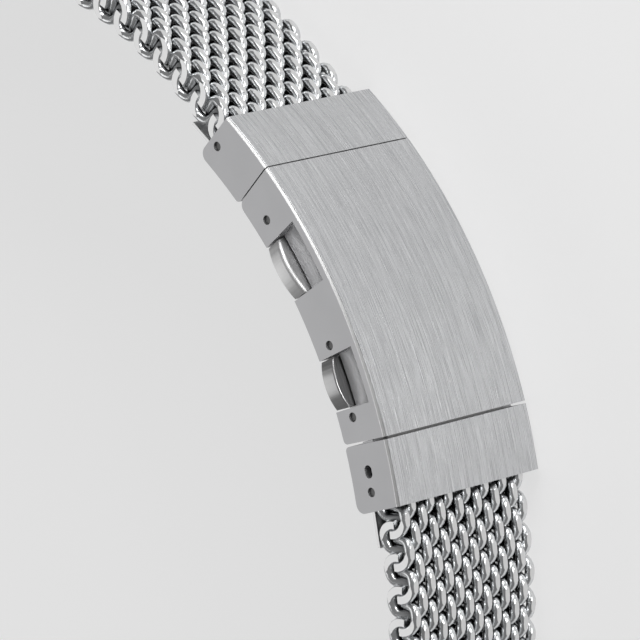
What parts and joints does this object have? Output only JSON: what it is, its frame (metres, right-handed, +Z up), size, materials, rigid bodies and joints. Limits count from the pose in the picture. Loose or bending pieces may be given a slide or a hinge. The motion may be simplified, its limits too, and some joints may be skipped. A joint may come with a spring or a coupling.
{
  "type": "mesh watch band",
  "caption": "Thick steel mesh watch band with a curved folding clasp, side pushers, a ratchet extension and spring bar ends.",
  "frame": {"origin": "on the surface that the band lies on, on its side, under the middle of its box", "axes": "+Z up across the band's width; +X from the middle of the clasp towards the head block; +Y from the clasp towards the wrist"},
  "size_m": [0.1234, 0.0544, 0.023],
  "materials": {
    "brushed_steel": "brushed along the band",
    "satin_steel": "fine satin",
    "polished_steel": "polished",
    "mesh_wire": "ground wire",
    "spring_steel": "spring temper",
    "pin_steel": "drawn wire"
  },
  "bodies": {
    "clasp_cover": {"cover": "brushed_steel", "hinge_pin": "pin_steel", "latch_spring_pins": "pin_steel", "ratchet_spring_pins": "pin_steel", "latch_spring_top": "spring_steel", "latch_spring_bottom": "spring_steel", "ratchet_spring_top": "spring_steel", "ratchet_spring_bottom": "spring_steel"},
    "latch_button_top": {"latch_pusher_top": "polished_steel"},
    "latch_button_bottom": {"latch_pusher_bottom": "polished_steel"},
    "ratchet_button_top": {"ratchet_pusher_top": "polished_steel"},
    "ratchet_button_bottom": {"ratchet_pusher_bottom": "polished_steel"},
    "middle_link": {"middle_blade": "satin_steel"},
    "base_link": {"base_blade": "satin_steel", "fold_pin": "pin_steel", "catch_post": "satin_steel", "blade_rivets": "pin_steel", "head_block": "brushed_steel", "head_mesh_pin": "pin_steel", "head_backing_plate": "satin_steel"},
    "tail_slider": {"tail_block": "brushed_steel", "ratchet_tongue": "satin_steel", "tongue_pin": "pin_steel", "tail_mesh_pin": "pin_steel", "tail_backing_plate": "satin_steel"},
    "head_strap_1": {"head_mesh_1": "mesh_wire"},
    "head_strap_2": {"head_mesh_2": "mesh_wire"},
    "head_strap_3": {"head_mesh_3": "mesh_wire"},
    "head_strap_4": {"head_mesh_4": "mesh_wire"},
    "head_strap_5": {"head_mesh_5": "mesh_wire"},
    "head_strap_6": {"head_mesh_6": "mesh_wire"},
    "head_strap_7": {"head_mesh_7": "mesh_wire"},
    "head_end": {"head_end_bar": "satin_steel", "head_end_pin": "pin_steel", "head_bar_tube": "pin_steel", "head_bar_spring": "spring_steel"},
    "head_tip_top": {"head_tip_top": "pin_steel"},
    "head_tip_bottom": {"head_tip_bottom": "pin_steel"},
    "tail_strap_1": {"tail_mesh_1": "mesh_wire"},
    "tail_strap_2": {"tail_mesh_2": "mesh_wire"},
    "tail_strap_3": {"tail_mesh_3": "mesh_wire"},
    "tail_strap_4": {"tail_mesh_4": "mesh_wire"},
    "tail_strap_5": {"tail_mesh_5": "mesh_wire"},
    "tail_strap_6": {"tail_mesh_6": "mesh_wire"},
    "tail_strap_7": {"tail_mesh_7": "mesh_wire"},
    "tail_end": {"tail_end_bar": "satin_steel", "tail_end_pin": "pin_steel", "tail_bar_tube": "pin_steel", "tail_bar_spring": "spring_steel"},
    "tail_tip_top": {"tail_tip_top": "pin_steel"},
    "tail_tip_bottom": {"tail_tip_bottom": "pin_steel"}
  },
  "joints": [
    {"name": "fold_middle", "type": "hinge", "parent": "clasp_cover", "child": "middle_link", "pos_m": [0.00849, -0.022, 0.0115], "axis": [0, 0, -1], "range_deg": [0, 150]},
    {"name": "fold_base", "type": "hinge", "parent": "middle_link", "child": "base_link", "pos_m": [-0.01258, -0.02131, 0.0115], "axis": [0, 0, 1], "range_deg": [0, 150]},
    {"name": "tail_extend", "type": "hinge", "parent": "clasp_cover", "child": "tail_slider", "pos_m": [-0.00251, 0.03484, 0.0115], "axis": [0, 0, -1], "range_deg": [0, 6.43]},
    {"name": "latch_press_top", "type": "slide", "parent": "clasp_cover", "child": "latch_button_top", "axis": [0, 0, -1], "range_m": [0, 0.0012], "stiffness_N_per_m": 400, "springref_m": -0.0012, "deforming": ["latch_spring_top"]},
    {"name": "latch_press_bottom", "type": "slide", "parent": "clasp_cover", "child": "latch_button_bottom", "axis": [0, 0, 1], "range_m": [0, 0.0012], "stiffness_N_per_m": 400, "springref_m": -0.0012, "deforming": ["latch_spring_bottom"]},
    {"name": "ratchet_press_top", "type": "slide", "parent": "clasp_cover", "child": "ratchet_button_top", "axis": [0, 0, -1], "range_m": [0, 0.0012], "stiffness_N_per_m": 400, "springref_m": -0.0012, "deforming": ["ratchet_spring_top"]},
    {"name": "ratchet_press_bottom", "type": "slide", "parent": "clasp_cover", "child": "ratchet_button_bottom", "axis": [0, 0, 1], "range_m": [0, 0.0012], "stiffness_N_per_m": 400, "springref_m": -0.0012, "deforming": ["ratchet_spring_bottom"]},
    {"name": "head_flex_1", "type": "hinge", "parent": "base_link", "child": "head_strap_1", "pos_m": [0.01832, -0.01964, 0.0115], "axis": [0, 0, 1], "range_deg": [-5, 3]},
    {"name": "head_flex_2", "type": "hinge", "parent": "head_strap_1", "child": "head_strap_2", "pos_m": [0.02597, -0.01773, 0.0115], "axis": [0, 0, 1], "range_deg": [-12, 7]},
    {"name": "head_flex_3", "type": "hinge", "parent": "head_strap_2", "child": "head_strap_3", "pos_m": [0.03399, -0.01425, 0.0115], "axis": [0, 0, 1], "range_deg": [-12, 7]},
    {"name": "head_flex_4", "type": "hinge", "parent": "head_strap_3", "child": "head_strap_4", "pos_m": [0.04138, -0.00958, 0.0115], "axis": [0, 0, 1], "range_deg": [-12, 7]},
    {"name": "head_flex_5", "type": "hinge", "parent": "head_strap_4", "child": "head_strap_5", "pos_m": [0.04787, -0.00373, 0.0115], "axis": [0, 0, 1], "range_deg": [-12, 7]},
    {"name": "head_flex_6", "type": "hinge", "parent": "head_strap_5", "child": "head_strap_6", "pos_m": [0.05328, 0.00314, 0.0115], "axis": [0, 0, 1], "range_deg": [-12, 7]},
    {"name": "head_flex_7", "type": "hinge", "parent": "head_strap_6", "child": "head_strap_7", "pos_m": [0.05733, 0.01087, 0.0115], "axis": [0, 0, 1], "range_deg": [-12, 7]},
    {"name": "head_end_flex", "type": "hinge", "parent": "head_strap_7", "child": "head_end", "pos_m": [0.05936, 0.01846, 0.0115], "axis": [0, 0, 1], "range_deg": [-8, 8]},
    {"name": "head_tip_top_press", "type": "slide", "parent": "head_end", "child": "head_tip_top", "axis": [0, 0, -1], "range_m": [0, 0.0012], "stiffness_N_per_m": 200, "springref_m": -0.0012, "deforming": ["head_bar_spring"]},
    {"name": "head_tip_bottom_press", "type": "slide", "parent": "head_end", "child": "head_tip_bottom", "axis": [0, 0, 1], "range_m": [0, 0.0012], "stiffness_N_per_m": 200, "springref_m": -0.0012, "deforming": ["head_bar_spring"]},
    {"name": "tail_flex_1", "type": "hinge", "parent": "tail_slider", "child": "tail_strap_1", "pos_m": [-0.02252, -0.01995, 0.0115], "axis": [0, 0, -1], "range_deg": [-5, 3]},
    {"name": "tail_flex_2", "type": "hinge", "parent": "tail_strap_1", "child": "tail_strap_2", "pos_m": [-0.03003, -0.01759, 0.0115], "axis": [0, 0, -1], "range_deg": [-12, 7]},
    {"name": "tail_flex_3", "type": "hinge", "parent": "tail_strap_2", "child": "tail_strap_3", "pos_m": [-0.03776, -0.0135, 0.0115], "axis": [0, 0, -1], "range_deg": [-12, 7]},
    {"name": "tail_flex_4", "type": "hinge", "parent": "tail_strap_3", "child": "tail_strap_4", "pos_m": [-0.04465, -0.00813, 0.0115], "axis": [0, 0, -1], "range_deg": [-12, 7]},
    {"name": "tail_flex_5", "type": "hinge", "parent": "tail_strap_4", "child": "tail_strap_5", "pos_m": [-0.05044, -0.00159, 0.0115], "axis": [0, 0, -1], "range_deg": [-12, 7]},
    {"name": "tail_flex_6", "type": "hinge", "parent": "tail_strap_5", "child": "tail_strap_6", "pos_m": [-0.05503, 0.00584, 0.0115], "axis": [0, 0, -1], "range_deg": [-12, 7]},
    {"name": "tail_flex_7", "type": "hinge", "parent": "tail_strap_6", "child": "tail_strap_7", "pos_m": [-0.05819, 0.01399, 0.0115], "axis": [0, 0, -1], "range_deg": [-12, 7]},
    {"name": "tail_end_flex", "type": "hinge", "parent": "tail_strap_7", "child": "tail_end", "pos_m": [-0.05934, 0.02176, 0.0115], "axis": [0, 0, -1], "range_deg": [-8, 8]},
    {"name": "tail_tip_top_press", "type": "slide", "parent": "tail_end", "child": "tail_tip_top", "axis": [0, 0, -1], "range_m": [0, 0.0012], "stiffness_N_per_m": 200, "springref_m": -0.0012, "deforming": ["tail_bar_spring"]},
    {"name": "tail_tip_bottom_press", "type": "slide", "parent": "tail_end", "child": "tail_tip_bottom", "axis": [0, 0, 1], "range_m": [0, 0.0012], "stiffness_N_per_m": 200, "springref_m": -0.0012, "deforming": ["tail_bar_spring"]}
  ],
  "couplings": [
    {"joint": "fold_base", "follows": "fold_middle", "ratio": 1}
  ]
}
